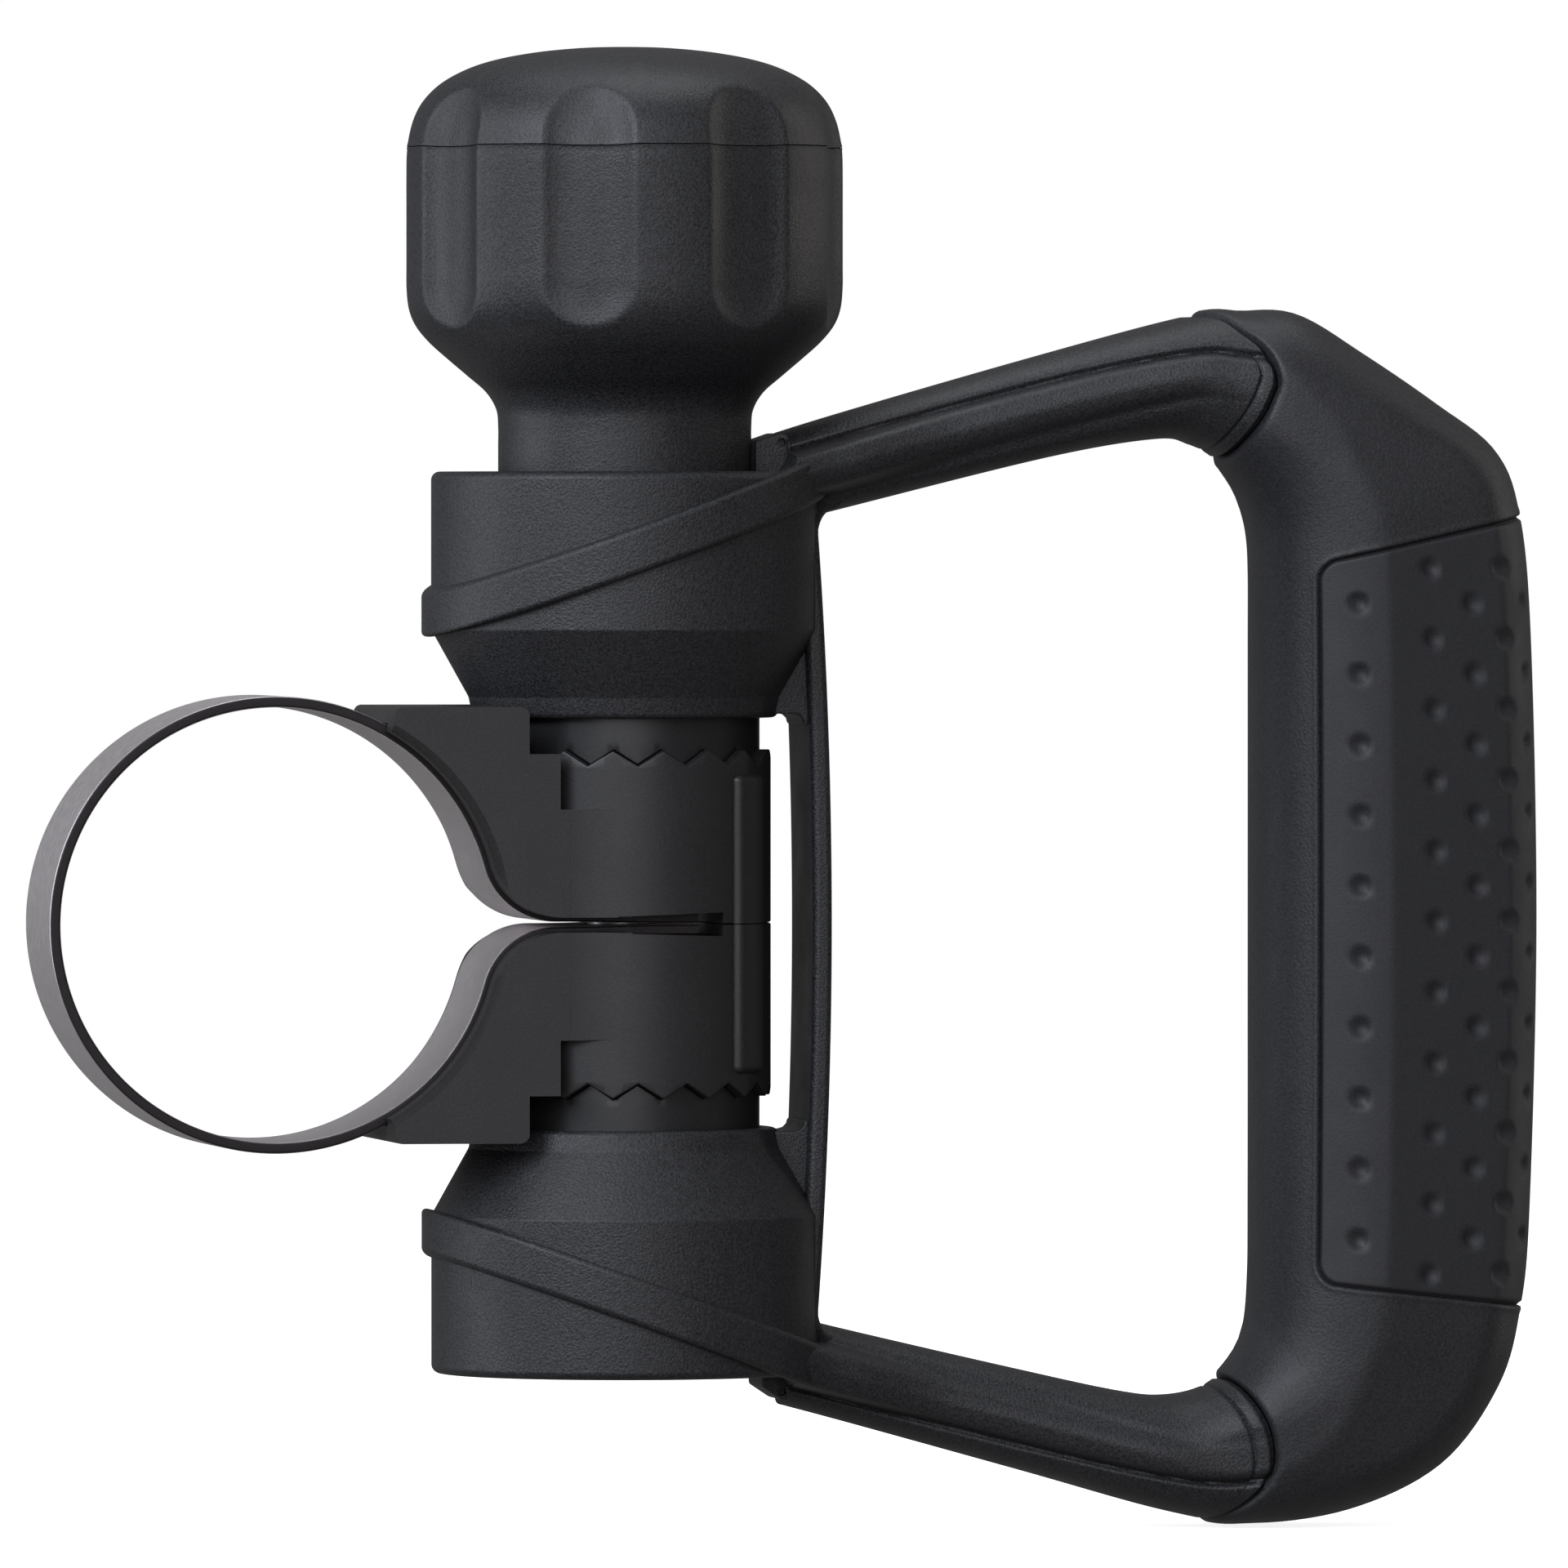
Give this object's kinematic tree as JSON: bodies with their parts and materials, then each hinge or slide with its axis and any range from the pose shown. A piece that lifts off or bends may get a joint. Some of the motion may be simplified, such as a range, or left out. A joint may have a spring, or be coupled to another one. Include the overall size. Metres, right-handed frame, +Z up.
{
  "type": "rotary hammer side handle",
  "caption": "D-shaped side handle for a rotary hammer, with a steel collar band between two jaws, toothed swivel couplings and a clamp knob.",
  "frame": {"origin": "centre of the tool collar that the band closes round, at the split between the jaws", "axes": "+Y along the collar (the tool's axis), +Z up along the clamp bolt towards the knob, +X from the collar towards the grip"},
  "size_m": [0.2047, 0.0586, 0.1992],
  "materials": {
    "frame_plastic": "finely textured glass filled nylon",
    "grip_rubber": "soft matt thermoplastic rubber",
    "inlay_rubber": "soft matt thermoplastic rubber with dimples",
    "knob_plastic": "satin",
    "jaw_plastic": "satin",
    "ring_plastic": "satin",
    "band_steel": "brushed, warm grey",
    "zinc_steel": "zinc plated",
    "spring_steel": "bright drawn wire",
    "bush_brass": "turned"
  },
  "bodies": {
    "clamp_base": {"lower_jaw": "jaw_plastic", "clamp_band": "band_steel"},
    "upper_jaw_body": {"upper_jaw": "jaw_plastic"},
    "upper_ring_body": {"upper_ring": "ring_plastic", "thrust_washer": "zinc_steel", "upper_spring": "spring_steel"},
    "lower_ring_body": {"lower_ring": "ring_plastic", "clamp_bolt": "zinc_steel", "stop_nut": "zinc_steel", "lower_spring": "spring_steel"},
    "knob_body": {"knob": "knob_plastic", "knob_cap": "knob_plastic", "threaded_bush": "bush_brass"},
    "handle_body": {"frame": "frame_plastic", "grip_cover": "grip_rubber", "grip_inlay": "inlay_rubber"}
  },
  "joints": [
    {"name": "jaw_open", "type": "hinge", "parent": "clamp_base", "child": "upper_jaw_body", "pos_m": [0.0686, 0, 0], "axis": [0, 1, 0], "range_deg": [0, 2]},
    {"name": "upper_release", "type": "slide", "parent": "clamp_base", "child": "upper_ring_body", "axis": [0, 0, 1], "range_m": [0, 0.0035], "deforming": ["upper_spring"]},
    {"name": "lower_release", "type": "slide", "parent": "clamp_base", "child": "lower_ring_body", "axis": [0, 0, -1], "range_m": [0, 0.0025], "deforming": ["lower_spring"]},
    {"name": "knob_turn", "type": "hinge", "parent": "upper_ring_body", "child": "knob_body", "pos_m": [0.049, 0, 0.09], "axis": [0, 0, 1], "range_deg": [0, 1440]},
    {"name": "handle_swivel", "type": "hinge", "parent": "clamp_base", "child": "handle_body", "pos_m": [0.049, 0, 0], "axis": [0, 0, 1], "range_deg": [-110, 110]}
  ],
  "couplings": [
    {"joint": "upper_release", "follows": "knob_turn", "m_per_rad": 0.00013926},
    {"joint": "lower_release", "follows": "knob_turn", "m_per_rad": 0.000099471},
    {"joint": "jaw_open", "follows": "knob_turn", "ratio": 0.0013889}
  ]
}
